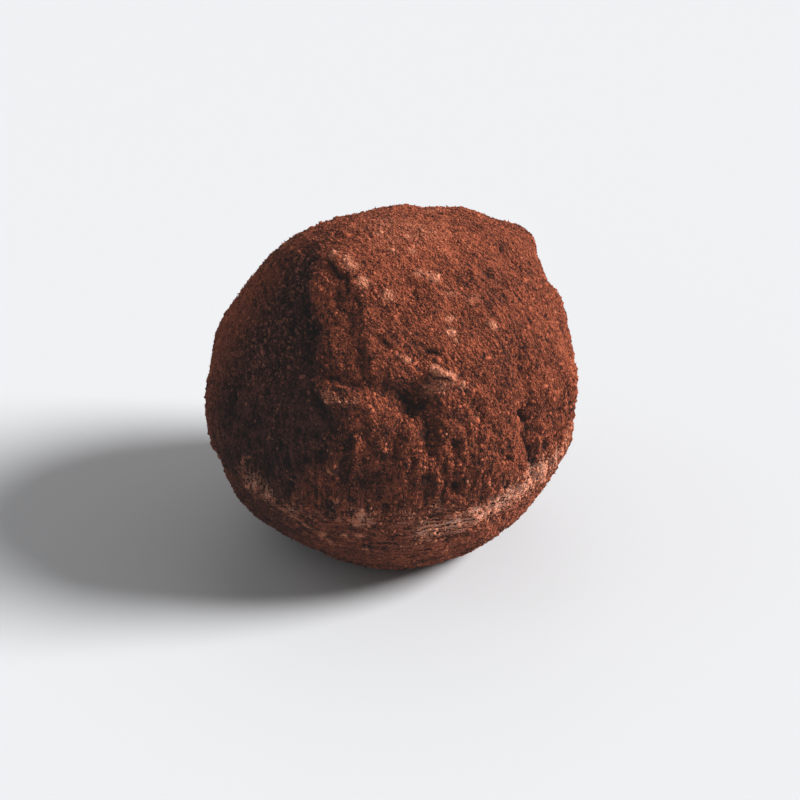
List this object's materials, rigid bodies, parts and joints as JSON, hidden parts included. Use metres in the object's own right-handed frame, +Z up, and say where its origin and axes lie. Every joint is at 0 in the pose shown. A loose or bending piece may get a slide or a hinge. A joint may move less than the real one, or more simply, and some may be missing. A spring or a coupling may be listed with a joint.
{
  "type": "champagne truffle",
  "caption": "Round hand-rolled chocolate truffle with a pinched peak and a crumbly cocoa coat, resting on a small flat foot.",
  "frame": {"origin": "on the table, under the middle of the truffle's box", "axes": "+Z up, front towards -Y, the pinched peak at the back right, towards +X and +Y"},
  "size_m": [0.0297, 0.03, 0.0272],
  "materials": {
    "cocoa_coat": "matt, crumbly cocoa powder"
  },
  "bodies": {
    "root": {"truffle": "cocoa_coat"}
  },
  "joints": []
}
